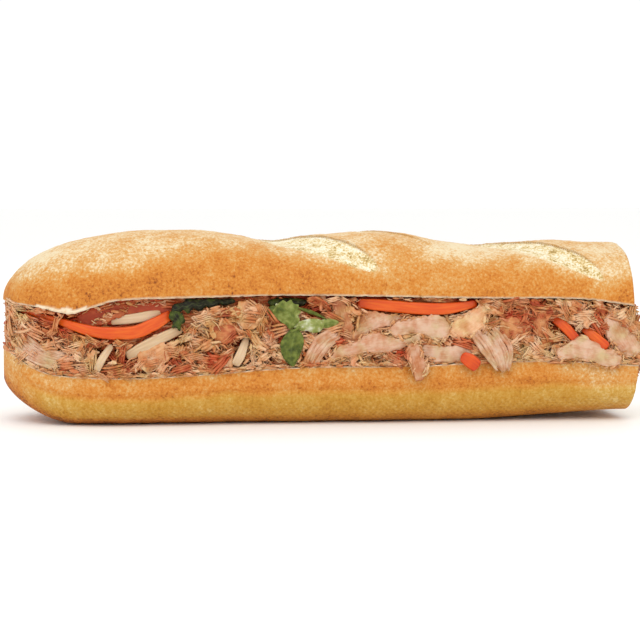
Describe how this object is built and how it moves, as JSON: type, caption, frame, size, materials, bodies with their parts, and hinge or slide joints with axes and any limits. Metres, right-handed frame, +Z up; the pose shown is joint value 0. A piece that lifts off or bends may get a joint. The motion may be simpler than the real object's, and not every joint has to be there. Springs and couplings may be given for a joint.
{
  "type": "baguette sandwich",
  "caption": "Baguette end split lengthways and filled with shredded chicken, carrot and radish sticks and coriander; one end a rounded heel, the other cut straight.",
  "frame": {"origin": "middle of the flat underside of the lower half of the loaf", "axes": "+X from the rounded heel to the cut end, -Y towards the front that the picture shows, +Z up"},
  "size_m": [0.2532, 0.0758, 0.0747],
  "materials": {
    "crust": "dry baked crust",
    "chicken_shreds": "moist torn meat",
    "chicken": "moist sliced meat",
    "carrot": "wet cut carrot",
    "radish": "wet cut white radish",
    "coriander": "fresh leaf"
  },
  "bodies": {
    "root": {"bread_top": "crust", "bread_bottom": "crust", "chicken_shreds": "chicken_shreds", "chicken_1": "chicken", "chicken_2": "chicken", "chicken_3": "chicken", "chicken_4": "chicken", "chicken_5": "chicken", "chicken_6": "chicken", "chicken_7": "chicken", "chicken_8": "chicken", "chicken_9": "chicken", "chicken_10": "chicken", "chicken_11": "chicken", "chicken_12": "chicken", "chicken_13": "chicken", "chicken_14": "chicken", "chicken_15": "chicken", "carrot_1": "carrot", "carrot_2": "carrot", "carrot_3": "carrot", "carrot_4": "carrot", "carrot_5": "carrot", "carrot_6": "carrot", "carrot_7": "carrot", "carrot_8": "carrot", "radish_1": "radish", "radish_2": "radish", "radish_3": "radish", "radish_4": "radish", "radish_5": "radish", "radish_6": "radish", "coriander_1": "coriander", "coriander_2": "coriander", "coriander_3": "coriander"}
  },
  "joints": []
}
